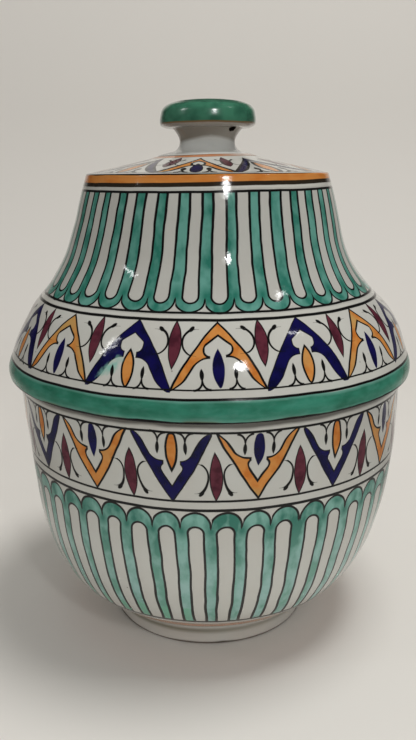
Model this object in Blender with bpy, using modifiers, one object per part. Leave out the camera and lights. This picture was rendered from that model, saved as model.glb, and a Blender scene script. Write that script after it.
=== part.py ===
"""Covered ceramic jar: a thrown bowl, a bell-shaped lid and the hollow knob luted to its top.

Metres, +Z up. The origin is the middle of the foot's underside, so the jar stands on Z = 0.
The side with the knob's vent hole a little to its right faces -Y.
"""

import math

import bpy
from mathutils import Vector

# Clearances
SEAT_GAP = 0.0003            # between pieces that rest on each other
LID_SIDE_PLAY = 0.0015       # round the collar, so that the lid drops on by itself

# Foot of the bowl
FOOT_RADIUS = 0.0570
FOOT_FLARE = 0.0015          # the foot ring is this much wider where it meets the belly
FOOT_HEIGHT = 0.0125
FOOT_RING_WIDTH = 0.0085
FOOT_RECESS_DEPTH = 0.0035
FOOT_EDGE = 0.0008           # wiped edge of the foot ring

# Bowl
BOWL_RADIUS = 0.1070         # outside, at the ledge
BOWL_HEIGHT = 0.1473         # from the ground to the ledge
BOWL_WALL = 0.0075
BOWL_FLOOR = 0.0100
LEDGE_WIDTH = 0.0057
COLLAR_HEIGHT = 0.0070
COLLAR_WALL = 0.0050
COLLAR_DEPTH = 0.0120        # how far the thick part of the neck runs down inside
RIM_EDGE = 0.0010            # rounding of the ledge's and the collar's edges

# Lid
LID_OVERHANG = 0.0058        # of the edge bead past the bowl's side
BEAD_HEIGHT = 0.0102
BEAD_STEP = 0.0024           # the bead stands out this far from the dome above it
DOME_HEIGHT = 0.0940         # from the bead's top to the shoulder's corner
SHOULDER_RADIUS = 0.0673
SHOULDER_ROUND = 0.0015
CONE_RISE = 0.0101
LID_WALL = 0.0070
LID_EDGE = 0.0010

# Knob
KNOB_BASE_RADIUS = 0.0215
KNOB_SEAT_MARGIN = 0.0005
KNOB_BASE_EDGE = 0.0004      # thickness of the luted edge
KNOB_BASE_LAND = 0.0045      # width of the ring that the knob stands on
KNOB_NECK_RADIUS = 0.0149
KNOB_NECK_HEIGHT = 0.0061    # of the narrowest place above the knob's base
KNOB_HEAD_RADIUS = 0.0257
KNOB_HEAD_HEIGHT = 0.0145
KNOB_HEIGHT = 0.0272
KNOB_WALL = 0.0040
KNOB_HEAD_WALL = 0.0095
KNOB_CROWN = 0.0045
VENT_RADIUS = 0.0013

# Proportions of the outlines, from 0 to 1 between the sizes that bound them: (radius, height)
BELLY_SHARES = ((0, 0), (0.249, 0.056), (0.507, 0.136), (0.711, 0.258),
                (0.847, 0.413), (0.926, 0.609), (0.973, 0.805), (1, 1))
DOME_SHARES = ((0, 1), (0.023, 0.93), (0.104, 0.755), (0.267, 0.545),
               (0.473, 0.404), (0.731, 0.264), (0.91, 0.123), (1, 0))
CONE_SHARES = ((0, 1), (0.31, 0.63), (0.62, 0.3), (1, 0))
HEAD_SHARES = ((0, 1), (0.47, 0.966), (0.78, 0.855), (0.89, 0.75), (0.977, 0.545),
               (1, 0.317), (0.98, 0.14), (0.89, 0.02), (0.747, 0))
CAVITY_SHARES = ((0.74, 0), (1, 0.32), (0.92, 0.72), (0.6, 0.95), (0, 1))
FOOT_SHARES = ((0, 0), (0.12, 0.55))
FLOOR_SHARES = (0.6, 0.1)
BEAD_BULGE_SHARE = 0.43      # height of the bead's widest line in the bead
VENT_HEIGHT_SHARE = 0.74     # of the way from the neck's narrowest place to the head
VENT_AZIMUTH = math.radians(47)

# Facets
SEGMENTS = 48
KNOB_SEGMENTS = 36
SPAN_STEPS = 2
ARC_STEPS = 4
EDGE_STEPS = 2
MERGE_DISTANCE = 0.00001

# Levels worked out from the sizes above
COLLAR_RADIUS = BOWL_RADIUS - LEDGE_WIDTH
LID_BASE = BOWL_HEIGHT + SEAT_GAP
SHOULDER_LEVEL = LID_BASE + BEAD_HEIGHT + DOME_HEIGHT
KNOB_SEAT_RADIUS = KNOB_BASE_RADIUS + KNOB_SEAT_MARGIN
KNOB_SEAT_LEVEL = SHOULDER_LEVEL + SHOULDER_ROUND + CONE_RISE
KNOB_BASE = KNOB_SEAT_LEVEL + SEAT_GAP


def smooth_line(knots, steps):
    """Points along a smooth curve through the knots, in cubic spans."""
    knots = [Vector(knot) for knot in knots]
    lengths = [(b - a).length for a, b in zip(knots, knots[1:])]
    slopes = [(b - a) / length for a, b, length in zip(knots, knots[1:], lengths)]
    tangents = [slopes[0]]
    for before, after, first, second in zip(lengths, lengths[1:], slopes, slopes[1:]):
        tangents.append((first * after + second * before) / (before + after))
    tangents.append(slopes[-1])
    points = []
    for index, length in enumerate(lengths):
        for step in range(steps):
            t = step / steps
            points.append(knots[index] * (2 * t**3 - 3 * t**2 + 1)
                          + tangents[index] * length * (t**3 - 2 * t**2 + t)
                          + knots[index + 1] * (3 * t**2 - 2 * t**3)
                          + tangents[index + 1] * length * (t**3 - t**2))
    points.append(knots[-1])
    return points


def quarter(centre, radii, start, steps=ARC_STEPS, turn=90):
    """Points on a quarter of an ellipse, its ends included; angles in degrees from +X."""
    points = []
    for step in range(steps + 1):
        angle = math.radians(start + turn * step / steps)
        points.append(Vector((centre[0] + radii[0] * math.cos(angle),
                              centre[1] + radii[1] * math.sin(angle))))
    return points


def between(shares, radii, heights):
    """Outline points from (radius, height) shares between two radii and two heights."""
    return [Vector((radii[0] + (radii[1] - radii[0]) * radial,
                    heights[0] + (heights[1] - heights[0]) * upright))
            for radial, upright in shares]


def offset_line(points, distance):
    """The line moved to its left by a distance, measured square to it."""
    moved = []
    for index, point in enumerate(points):
        ahead = points[min(index + 1, len(points) - 1)]
        behind = points[max(index - 1, 0)]
        along = (ahead - behind).normalized()
        moved.append(point + Vector((-along.y, along.x)) * distance)
    return moved


def turned(name, outline, segments, collection, material):
    """A solid of revolution: the outline in the XZ plane, spun about Z by a Screw modifier."""
    mesh = bpy.data.meshes.new(name)
    vertices = [(point[0], 0, point[1]) for point in outline]
    edges = [(index, index + 1) for index in range(len(vertices) - 1)]
    mesh.from_pydata(vertices, edges, [])
    mesh.materials.append(material)
    piece = bpy.data.objects.new(name, mesh)
    collection.objects.link(piece)
    screw = piece.modifiers.new("turn", "SCREW")
    screw.axis = "Z"
    screw.angle = math.tau
    screw.steps = segments
    screw.render_steps = segments
    screw.use_merge_vertices = True
    screw.merge_threshold = MERGE_DISTANCE
    screw.use_smooth_shade = True
    return piece


def glaze(name, color, roughness):
    material = bpy.data.materials.new(name)
    material.use_nodes = True
    shader = material.node_tree.nodes["Principled BSDF"]
    shader.inputs["Base Color"].default_value = (*color, 1)
    shader.inputs["Roughness"].default_value = roughness
    shader.inputs["Metallic"].default_value = 0
    material.diffuse_color = (*color, 1)
    return material


def make_bowl(collection):
    """Bowl with its turned foot ring, the ledge that carries the lid and the collar inside it."""
    foot_top = FOOT_RADIUS + FOOT_FLARE
    foot_knots = between(FOOT_SHARES, (FOOT_RADIUS, foot_top), (FOOT_EDGE, FOOT_HEIGHT))
    belly_knots = between(BELLY_SHARES, (foot_top, BOWL_RADIUS),
                          (FOOT_HEIGHT, BOWL_HEIGHT - RIM_EDGE))
    belly = smooth_line(belly_knots, SPAN_STEPS)
    side = smooth_line(foot_knots + belly_knots, SPAN_STEPS)

    # Inside: an even wall under the collar, run into the floor
    neck_level = BOWL_HEIGHT - COLLAR_DEPTH
    wall = [point for point in offset_line(belly, BOWL_WALL) if point.y < neck_level]
    floor_level = FOOT_RECESS_DEPTH + BOWL_FLOOR
    wall_start = wall[0]
    floor_bend = (wall_start.x * FLOOR_SHARES[0],
                  floor_level + (wall_start.y - floor_level) * FLOOR_SHARES[1])
    floor = smooth_line(((0, floor_level), floor_bend, wall_start), SPAN_STEPS)
    collar_bore = COLLAR_RADIUS - COLLAR_WALL
    collar_top = BOWL_HEIGHT + COLLAR_HEIGHT

    outline = floor[:-1] + wall
    outline.append(Vector((collar_bore, BOWL_HEIGHT)))
    outline += quarter((collar_bore + RIM_EDGE, collar_top - RIM_EDGE),
                       (RIM_EDGE, RIM_EDGE), 180, EDGE_STEPS, -90)
    outline += quarter((COLLAR_RADIUS - RIM_EDGE, collar_top - RIM_EDGE),
                       (RIM_EDGE, RIM_EDGE), 90, EDGE_STEPS, -90)
    outline.append(Vector((COLLAR_RADIUS, BOWL_HEIGHT)))
    outline += quarter((BOWL_RADIUS - RIM_EDGE, BOWL_HEIGHT - RIM_EDGE),
                       (RIM_EDGE, RIM_EDGE), 90, EDGE_STEPS, -90)
    outline += reversed(side[1:-1])
    outline += quarter((FOOT_RADIUS - FOOT_EDGE, FOOT_EDGE),
                       (FOOT_EDGE, FOOT_EDGE), 0, EDGE_STEPS, -90)
    ring_bore = FOOT_RADIUS - FOOT_RING_WIDTH
    outline += quarter((ring_bore + FOOT_EDGE, FOOT_EDGE),
                       (FOOT_EDGE, FOOT_EDGE), 270, EDGE_STEPS, -90)
    outline.append(Vector((ring_bore, FOOT_RECESS_DEPTH)))
    outline.append(Vector((0, FOOT_RECESS_DEPTH)))
    return turned("bowl", outline, SEGMENTS, collection,
                  glaze("bowl_glaze", (0.62, 0.62, 0.57), 0.18))


def make_lid(collection):
    """Bell-shaped lid: low cone, sharp shoulder, hollow-sided dome and a rolled edge bead."""
    bead_radius = BOWL_RADIUS + LID_OVERHANG
    dome_radius = bead_radius - BEAD_STEP
    bead_top = LID_BASE + BEAD_HEIGHT
    cone_level = SHOULDER_LEVEL + SHOULDER_ROUND
    cone = smooth_line(between(CONE_SHARES, (KNOB_SEAT_RADIUS, SHOULDER_RADIUS - SHOULDER_ROUND),
                               (cone_level, KNOB_SEAT_LEVEL)), SPAN_STEPS)
    dome = smooth_line(between(DOME_SHARES, (SHOULDER_RADIUS, dome_radius),
                               (bead_top, SHOULDER_LEVEL)), SPAN_STEPS)
    shoulder = quarter((SHOULDER_RADIUS - SHOULDER_ROUND, SHOULDER_LEVEL),
                       (SHOULDER_ROUND, SHOULDER_ROUND), 90, EDGE_STEPS, -90)

    bulge_level = LID_BASE + BEAD_HEIGHT * BEAD_BULGE_SHARE
    upper_bead = quarter((dome_radius, bulge_level),
                         (BEAD_STEP, bead_top - bulge_level), 90, turn=-90)
    lower_bead = quarter((dome_radius, bulge_level),
                         (BEAD_STEP, bulge_level - LID_BASE), 0, turn=-90)

    # Inside: the outer line moved in by the wall, down to the bore that clears the collar
    bore = COLLAR_RADIUS + LID_SIDE_PLAY
    inner_dome = offset_line(dome, -LID_WALL)
    inner_cone = offset_line(cone, -LID_WALL)
    ceiling = [point for point in inner_cone if point.x < inner_dome[0].x]
    wall = [point for point in inner_dome if point.y < ceiling[-1].y and point.y > bead_top]
    inside = quarter((bore + LID_EDGE, LID_BASE + LID_EDGE),
                     (LID_EDGE, LID_EDGE), 270, EDGE_STEPS, -90)
    inside += reversed(wall)
    inside += reversed(ceiling)
    inside.append(Vector((0, KNOB_SEAT_LEVEL - LID_WALL)))

    outline = [Vector((0, KNOB_SEAT_LEVEL))] + cone[:-1] + shoulder[:-1] + dome[:-1]
    outline += upper_bead[:-1] + lower_bead + inside
    return turned("lid", outline, SEGMENTS, collection,
                  glaze("lid_glaze", (0.62, 0.62, 0.57), 0.18))


def make_knob(collection, cutters):
    """Hollow knob: a waisted stem under a puck-shaped head, with a vent hole in its neck."""
    top = KNOB_BASE + KNOB_HEIGHT
    head_level = top - KNOB_HEAD_HEIGHT
    neck_level = KNOB_BASE + KNOB_NECK_HEIGHT
    head = smooth_line(between(HEAD_SHARES, (0, KNOB_HEAD_RADIUS), (head_level, top)), SPAN_STEPS)
    flare_radius = head[-1].x
    upper_flare = quarter((flare_radius, neck_level),
                          (flare_radius - KNOB_NECK_RADIUS, head_level - neck_level), 90)
    base_edge = KNOB_BASE + KNOB_BASE_EDGE
    lower_flare = quarter((KNOB_BASE_RADIUS, neck_level),
                          (KNOB_BASE_RADIUS - KNOB_NECK_RADIUS, neck_level - base_edge), 180)

    # Inside: up through the neck into the head
    neck_bore = KNOB_NECK_RADIUS - KNOB_WALL
    base_bore = KNOB_BASE_RADIUS - KNOB_BASE_LAND
    entry = quarter((base_bore, neck_level), (base_bore - neck_bore, neck_level - KNOB_BASE),
                    270, turn=-90)
    head_bore = between(CAVITY_SHARES, (0, KNOB_HEAD_RADIUS - KNOB_HEAD_WALL),
                        (head_level, top - KNOB_CROWN))
    cavity = smooth_line([entry[-1], *head_bore], SPAN_STEPS)

    outline = head[:-1] + upper_flare[:-1] + lower_flare
    outline.append(Vector((KNOB_BASE_RADIUS, KNOB_BASE)))
    outline += entry[:-1] + cavity
    knob = turned("lid_knob", outline, KNOB_SEGMENTS, collection,
                  glaze("knob_glaze", (0.03, 0.19, 0.11), 0.14))

    # Vent hole, from the hollow out through the flare under the head
    vent_level = neck_level + (head_level - neck_level) * VENT_HEIGHT_SHARE
    facing = Vector((math.sin(VENT_AZIMUTH), -math.cos(VENT_AZIMUTH), 0))
    bpy.ops.mesh.primitive_cylinder_add(vertices=12, radius=VENT_RADIUS, depth=flare_radius)
    drill = bpy.context.object
    drill.name = "vent_drill"
    drill.location = facing * flare_radius / 2 + Vector((0, 0, vent_level))
    drill.rotation_euler = facing.to_track_quat("Z", "Y").to_euler()
    drill.hide_render = True
    drill.display_type = "WIRE"
    for holder in list(drill.users_collection):
        holder.objects.unlink(drill)
    cutters.objects.link(drill)
    cut = knob.modifiers.new("vent", "BOOLEAN")
    cut.operation = "DIFFERENCE"
    cut.solver = "EXACT"
    cut.object = drill
    return knob


def main():
    for item in list(bpy.data.objects):
        bpy.data.objects.remove(item, do_unlink=True)
    jar = bpy.data.collections.new("covered_jar")
    cutters = bpy.data.collections.new("cutters")
    bpy.context.scene.collection.children.link(jar)
    bpy.context.scene.collection.children.link(cutters)
    make_bowl(jar)
    make_lid(jar)
    make_knob(jar, cutters)


main()
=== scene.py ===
"""Covered ceramic jar: finely turned glazed pieces with their brushed decoration.

Metres for shapes, millimetres for what is painted on them. The front faces -Y.
"""

from math import ceil, cos, pi, radians, sin, tau

import bmesh
import bpy
from mathutils import Matrix, Vector, noise


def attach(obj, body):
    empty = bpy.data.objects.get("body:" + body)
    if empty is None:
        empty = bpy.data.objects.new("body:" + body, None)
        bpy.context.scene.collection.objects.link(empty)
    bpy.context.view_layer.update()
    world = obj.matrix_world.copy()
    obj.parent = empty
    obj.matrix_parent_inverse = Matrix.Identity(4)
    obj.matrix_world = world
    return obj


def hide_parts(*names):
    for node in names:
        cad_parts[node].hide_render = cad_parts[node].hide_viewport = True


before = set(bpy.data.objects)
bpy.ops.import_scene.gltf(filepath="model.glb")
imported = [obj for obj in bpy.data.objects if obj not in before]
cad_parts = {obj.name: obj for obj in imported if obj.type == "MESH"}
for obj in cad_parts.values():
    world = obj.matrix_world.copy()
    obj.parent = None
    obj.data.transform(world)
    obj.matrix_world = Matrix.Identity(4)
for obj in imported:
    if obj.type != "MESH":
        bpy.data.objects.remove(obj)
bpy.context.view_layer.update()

# Sizes of the pieces: those of the solids in the frame, a few refined by up to 2 mm
SEAT_GAP = 0.0003
LID_SIDE_PLAY = 0.0015
FOOT_RADIUS = 0.0570
FOOT_FLARE = 0.0015
FOOT_HEIGHT = 0.0125
FOOT_RING_WIDTH = 0.0085
FOOT_RECESS_DEPTH = 0.0035
FOOT_EDGE = 0.0008
BOWL_RADIUS = 0.1070
BOWL_HEIGHT = 0.1473
BOWL_WALL = 0.0075
BOWL_FLOOR = 0.0100
LEDGE_WIDTH = 0.0057
COLLAR_HEIGHT = 0.0070
COLLAR_WALL = 0.0050
COLLAR_DEPTH = 0.0120
RIM_EDGE = 0.0010
LID_OVERHANG = 0.0058
BEAD_HEIGHT = 0.0102
BEAD_STEP = 0.0024
DOME_HEIGHT = 0.0940
SHOULDER_RADIUS = 0.0656
SHOULDER_ROUND = 0.0014
CONE_RISE = 0.0102
LID_WALL = 0.0070
LID_EDGE = 0.0010
KNOB_BASE_RADIUS = 0.0215
KNOB_SEAT_MARGIN = 0.0005
KNOB_BASE_LAND = 0.0045
KNOB_NECK_RADIUS = 0.0149
KNOB_NECK_HEIGHT = 0.0061
KNOB_HEAD_RADIUS = 0.0257
KNOB_HEAD_HEIGHT = 0.0145
KNOB_HEIGHT = 0.0272
KNOB_WALL = 0.0040
KNOB_HEAD_WALL = 0.0095
KNOB_CROWN = 0.0045
VENT_HEIGHT_SHARE = 0.90     # of the way from the neck's narrowest place to the head
VENT_REACH_SHARE = 0.75      # of the way from the neck's radius to the flare's
VENT_AZIMUTH = radians(47)
VENT_DIP = radians(35)  # by which the hole points down on its way out

# Proportions of the outlines, from 0 to 1 between the sizes that bound them: (radius, height)
BELLY_SHARES = ((0, 0), (0.249, 0.056), (0.507, 0.136), (0.711, 0.258),
                (0.847, 0.413), (0.926, 0.609), (0.973, 0.805), (1, 1))
DOME_SHARES = ((0, 1), (0.0465, 0.93), (0.0895, 0.857), (0.144, 0.755), (0.292, 0.545),
               (0.479, 0.404), (0.736, 0.264), (0.905, 0.123), (1, 0))
CONE_SHARES = ((0, 1), (0.2, 0.75), (0.6, 0.37), (1, 0))
HEAD_SHARES = ((0, 1), (0.47, 0.966), (0.78, 0.862), (0.895, 0.765), (0.955, 0.64),
               (0.987, 0.45), (1, 0.24), (0.988, 0.11), (0.91, 0.02), (0.747, 0))
FLARE_SHARES = ((1, 1), (0.70, 0.84), (0.49, 0.667), (0.23, 0.41), (0.05, 0.15), (0, 0))
CAVITY_SHARES = ((0.74, 0), (1, 0.32), (0.92, 0.72), (0.6, 0.95), (0, 1))
FOOT_SHARES = ((0, 0), (0.12, 0.55))
FLOOR_SHARES = (0.6, 0.1)
BEAD_BULGE_SHARE = 0.37

# Details that only the visible pieces have
BEAD_SLACK = 0.0005          # by which the rolled edge stays inside its widest size
LIP_DEPTH = 0.0012           # of the rolled edge below the seat, at the front
LIP_GAP = 0.0013             # between that lip and the bowl's rim
LIP_LEAST = 0.12             # of the depth, at the back
FOLD_LEVEL = 0.0086          # where the bowl's underside meets the foot
LIP_SHARES = ((0, 0), (0.5, 0.12), (0.9, 0.4), (1, 1))
BEAD_SHARES = ((0, 1), (0.3, 0.8), (0.64, 0.52), (0.9, 0.24), (1, 0))
FILLET_RADIUS = 0.0265       # glaze that runs from the knob out over the lid
FILLET_HEIGHT = 0.00004
STEM_SHARES = ((0, 1), (0.034, 0.66), (0.16, 0.40), (0.36, 0.27), (0.60, 0.20),
               (0.80, 0.11), (1, 0))
VENT_WIDTH = 0.0025          # half the vent's size across, and then up
VENT_TALL = 0.0017
VENT_RAGGED = 0.35           # share by which its edge wanders

COLLAR_RADIUS = BOWL_RADIUS - LEDGE_WIDTH
LID_BASE = BOWL_HEIGHT + SEAT_GAP
BEAD_RADIUS = BOWL_RADIUS + LID_OVERHANG
SHOULDER_LEVEL = LID_BASE + BEAD_HEIGHT + DOME_HEIGHT
KNOB_SEAT_RADIUS = KNOB_BASE_RADIUS + KNOB_SEAT_MARGIN
KNOB_SEAT_LEVEL = SHOULDER_LEVEL + SHOULDER_ROUND + CONE_RISE
KNOB_BASE = KNOB_SEAT_LEVEL + SEAT_GAP

# Facets of the visible pieces
SEGMENTS = 224
KNOB_SEGMENTS = 144
SPAN_STEPS = 9
ARC_STEPS = 9
EDGE_STEPS = 4
OUTSIDE_FACET = 0.0022
INSIDE_FACET = 0.003
UNDER_FACET = 0.004
KNOB_FACET = 0.0015
KNOB_BORE_FACET = 0.002
TOUCHING = 1e-7              # points nearer than this are one

# Levels where one glaze takes over from the next
SHOULDER_ZONE = 0.2464
STRIPE_ZONE = 0.1908
CHEVRON_ZONE = 0.1598
HANGING_ZONE = 0.1046
ARCH_ZONE = 0.0283

# Hand of the potter: how far the walls wander from a true circle, and lean sideways
WANDER = 0.00022
WANDER_BIAS = 0.6            # the wander is mostly inward
WANDER_SCALE = 16            # of the noise, per metre
WANDER_REACH = 0.1           # radius of the circle in the noise that a wall's turn follows
LEAN_LEVELS = (0, 0.02, 0.06, 0.09, 0.11, 0.128, 0.15, 0.16, 0.177, 0.19, 0.205, 0.217,
               0.232, 0.25, 0.3)
LEAN_SHIFTS = (-0.0006, -0.0004, 0.0007, 0.0016, 0.0018, 0.0012, 0.0005, 0.0006, 0.0011,
               -0.0001, -0.0009, -0.0008, -0.0002, -0.0001, 0.0007)

# Colours of the glazes, linear
WHITE = (0.515, 0.518, 0.480)
WHITE_WARM = (0.485, 0.472, 0.430)
# Painted shade: a darker white for the lid's steep side
WHITE_PAINTED_SHADE = (0.448, 0.450, 0.417)
WHITE_PAINTED_SHADE_WARM = (0.421, 0.408, 0.374)
# Painted light: a lighter white for the lit stem, and for a painted reflection on the foot
WHITE_PAINTED_LIGHT = (0.640, 0.645, 0.615)
WHITE_FOOT = (0.500, 0.462, 0.415)
# Painted light: the stem's white, lighter where the front lamp falls on it
WHITE_STEM_LIT = (0.735, 0.745, 0.710)
# Painted shade: the head's shadow on the stem, and the head's underside
WHITE_SHADED = (0.300, 0.272, 0.230)
# Painted shade: the head's white underside
WHITE_DEEP_SHADE = (0.180, 0.158, 0.130)
BLACK = (0.006, 0.006, 0.006)
GREEN = (0.110, 0.295, 0.245)
GREEN_DEEP = (0.014, 0.135, 0.096)
GREEN_MILD = (0.185, 0.385, 0.325)
GREEN_THIN = (0.265, 0.440, 0.405)
GREEN_THIN_DEEP = (0.110, 0.285, 0.215)
BEAD_GREEN = (0.036, 0.208, 0.140)
BEAD_GREEN_DEEP = (0.017, 0.128, 0.078)
KNOB_GREEN = (0.042, 0.190, 0.112)
KNOB_GREEN_DEEP = (0.018, 0.110, 0.064)
SMEAR_GREEN = (0.210, 0.430, 0.370)
ORANGE = (0.560, 0.235, 0.058)
ORANGE_DEEP = (0.480, 0.150, 0.024)
OCHRE = (0.450, 0.280, 0.095)
COBALT = (0.005, 0.004, 0.062)
COBALT_DEEP = (0.003, 0.003, 0.030)
BURGUNDY = (0.105, 0.022, 0.036)
BURGUNDY_DEEP = (0.056, 0.011, 0.020)
SALMON = (0.500, 0.200, 0.090)
RUST = (0.160, 0.095, 0.035)
UMBER = (0.022, 0.016, 0.010)
OLIVE = (0.120, 0.110, 0.060)
POOLED = (0.140, 0.370, 0.250)
CLAY = (0.520, 0.330, 0.220)
CLAY_DARK = (0.400, 0.235, 0.150)
SCORCHED = (0.050, 0.035, 0.022)
PAPER = (0.745, 0.722, 0.684)
PAPER_AWAY = (0.200, 0.195, 0.185)
PAPER_HIGH = (0.030, 0.030, 0.029)


def smooth_line(knots, steps):
    """Points along a smooth curve through the knots, in cubic spans."""
    knots = [Vector(knot) for knot in knots]
    lengths = [(b - a).length for a, b in zip(knots, knots[1:])]
    slopes = [(b - a) / length for a, b, length in zip(knots, knots[1:], lengths)]
    tangents = [slopes[0]]
    for before, after, first, second in zip(lengths, lengths[1:], slopes, slopes[1:]):
        tangents.append((first * after + second * before) / (before + after))
    tangents.append(slopes[-1])
    points = []
    for index, length in enumerate(lengths):
        for step in range(steps):
            t = step / steps
            points.append(knots[index] * (2 * t**3 - 3 * t**2 + 1)
                          + tangents[index] * length * (t**3 - 2 * t**2 + t)
                          + knots[index + 1] * (3 * t**2 - 2 * t**3)
                          + tangents[index + 1] * length * (t**3 - t**2))
    points.append(knots[-1])
    return points


def quarter(centre, radii, start, steps=ARC_STEPS, turn=90):
    """Points on a quarter of an ellipse, its ends included; angles in degrees from +X."""
    angles = [radians(start + turn * step / steps) for step in range(steps + 1)]
    return [Vector((centre[0] + radii[0] * cos(angle), centre[1] + radii[1] * sin(angle)))
            for angle in angles]


def edge_arc(x, y, radius, start):
    """Small rounded edge round a centre, turning clockwise."""
    return quarter((x, y), (radius, radius), start, EDGE_STEPS, -90)


def between(shares, radii, heights):
    """Outline points from (radius, height) shares between two radii and two heights."""
    return [Vector((radii[0] + (radii[1] - radii[0]) * radial,
                    heights[0] + (heights[1] - heights[0]) * upright))
            for radial, upright in shares]


def offset_line(points, distance):
    """The line moved to its left by a distance, measured square to it."""
    moved = []
    for index, point in enumerate(points):
        ahead = points[min(index + 1, len(points) - 1)]
        behind = points[max(index - 1, 0)]
        along = (ahead - behind).normalized()
        moved.append(point + Vector((-along.y, along.x)) * distance)
    return moved


def filled(points, longest):
    """The line with points put into every stretch longer than that."""
    full = [points[0]]
    for start, end in zip(points, points[1:]):
        count = max(1, ceil((end - start).length / longest))
        full += [start.lerp(end, step / count) for step in range(1, count + 1)]
    return full


def lean(level):
    """Sideways shift of the walls at a level."""
    for below, above, start, end in zip(LEAN_LEVELS, LEAN_LEVELS[1:],
                                        LEAN_SHIFTS, LEAN_SHIFTS[1:]):
        if level <= above:
            share = (level - below) / (above - below)
            share = share * share * (3 - 2 * share)
            return start + (end - start) * share
    return 0


def thrown(radius, angle, level):
    """Place of a wall point, with the small wander of a hand-thrown wall.

    Near the axis both the wander and the lean die away.
    """
    spot = Vector((sin(angle) * WANDER_REACH, -cos(angle) * WANDER_REACH, level))
    wander = WANDER * (noise.noise(spot * WANDER_SCALE) - WANDER_BIAS)
    outward = radius + wander * min(1, radius / 0.05)
    shift = lean(level) * min(1, radius / 0.02)
    return Vector((outward * sin(angle) + shift, -outward * cos(angle), level))


def add_object(name, data):
    item = bpy.data.objects.new(name, data)
    bpy.context.scene.collection.objects.link(item)
    return item


def finish_at(zones, level):
    """Name of the finish at a level."""
    if isinstance(zones, str):
        return zones
    return next(name for lowest, name in zones if level > lowest)


def turned(name, sections, segments, finishes, names):
    """Closed mesh of revolution from joined outline sections, unrolled onto one square.

    Each section is (outline, zones, strip): zones is the name of its finish, or pairs of
    (lowest level, name) from the top down, and strip is the range of the square's height
    that the section fills. names lists all the finishes of the piece.
    """
    mesh = bpy.data.meshes.new(name)
    mesh_edit = bmesh.new()
    layer = mesh_edit.loops.layers.uv.new("OFBake")
    rings = []
    last = None
    for outline, zones, strip in sections:
        lengths = [0]
        for start, end in zip(outline, outline[1:]):
            lengths.append(lengths[-1] + (end - start).length)
        for index, point in enumerate(outline):
            height = strip[0] + (strip[1] - strip[0]) * lengths[index] / lengths[-1]
            if last is not None and (point - last).length < TOUCHING:
                ring = rings[-1][0]
            elif point.x < TOUCHING:
                ring = [mesh_edit.verts.new((0, 0, point.y))] * segments
            else:
                ring = [mesh_edit.verts.new(thrown(point.x, tau * turn / segments, point.y))
                        for turn in range(segments)]
            rings.append((ring, height, point, zones, index == 0))
            last = point
    for (lower, v0, p0, _, _), (upper, v1, p1, zones, first) in zip(rings, rings[1:]):
        if first:
            continue
        for turn in range(segments):
            after = (turn + 1) % segments
            corners = ((lower[turn], turn, v0), (lower[after], turn + 1, v0),
                       (upper[after], turn + 1, v1), (upper[turn], turn, v1))
            kept = []
            for vertex, column, v in corners:
                if vertex not in [item[0] for item in kept]:
                    kept.append((vertex, column, v))
            face = mesh_edit.faces.new([item[0] for item in kept])
            face.smooth = True
            face.material_index = names.index(finish_at(zones, ((p0 + p1) / 2).y))
            for loop, (_, column, v) in zip(face.loops, kept):
                loop[layer].uv = (column / segments, v)
    bmesh.ops.recalc_face_normals(mesh_edit, faces=mesh_edit.faces)
    mesh_edit.to_mesh(mesh)
    mesh_edit.free()
    for finish in names:
        mesh.materials.append(finishes[finish])
    return add_object(name, mesh)


# Painting: Python sums that become the nodes of a material

def new_material(name):
    """(material, its node tree, its shader)."""
    material = bpy.data.materials.new(name)
    material.use_nodes = True
    return material, material.node_tree, material.node_tree.nodes["Principled BSDF"]


def feed(socket, value):
    """Links a Term or another socket to a socket, or sets a plain value on it."""
    if isinstance(value, Term):
        value = value.socket
    if isinstance(value, bpy.types.NodeSocket):
        socket.id_data.links.new(value, socket)
    elif socket.type == "RGBA":
        socket.default_value = (*value, 1)
    else:
        socket.default_value = value


def new_term(kind, values):
    """First output of a new node fed with the values; at least one of them is a Term."""
    tree = next(value.socket.id_data for value in values if isinstance(value, Term))
    node = tree.nodes.new(kind)
    for socket, value in zip(node.inputs, values):
        feed(socket, value)
    return Term(node.outputs[0])


def calc(operation, *values):
    term = new_term("ShaderNodeMath", values)
    term.socket.node.operation = operation
    return term


class Term:
    """A value that changes over a surface; sums on it become Math nodes."""

    def __init__(self, socket):
        self.socket = socket

    def __add__(self, other):
        return calc("ADD", self, other)

    def __sub__(self, other):
        return calc("SUBTRACT", self, other)

    def __rsub__(self, other):
        return calc("SUBTRACT", other, self)

    def __mul__(self, other):
        return calc("MULTIPLY", self, other)

    def __truediv__(self, other):
        return calc("DIVIDE", self, other)

    def __neg__(self):
        return calc("MULTIPLY", self, -1)

    def __abs__(self):
        return calc("ABSOLUTE", self)


def low(a, b):
    return calc("MINIMUM", a, b)


def high(a, b):
    return calc("MAXIMUM", a, b)


def sine(value):
    return calc("SINE", value)


def cosine(value):
    return calc("COSINE", value)


def reach(a, b):
    """Length of the way a across and b up."""
    return calc("SQRT", a * a + b * b)


def ramp(value, start, end, first=0, last=1):
    """Straight change from first to last while value goes from start to end."""
    return new_term("ShaderNodeMapRange", (value, start, end, first, last))


def within(distance, soft=0.13):
    """1 where the distance is below zero, 0 where it is above, with a soft edge between."""
    return ramp(distance, -soft, soft, 1, 0)


def rounded(a, b, radius):
    """The higher of two distances, with the corner between their edges rounded."""
    return low(high(a, b), -radius) + reach(high(a + radius, 0), high(b + radius, 0))


def almond(x, y, bottom, top, half_width):
    """Distance to a pointed leaf that stands between two heights."""
    length = top - bottom
    radius = (length * length / 4 + half_width**2) / (2 * half_width)
    return reach(abs(x) + (radius - half_width), y - (top + bottom) / 2) - radius


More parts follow.
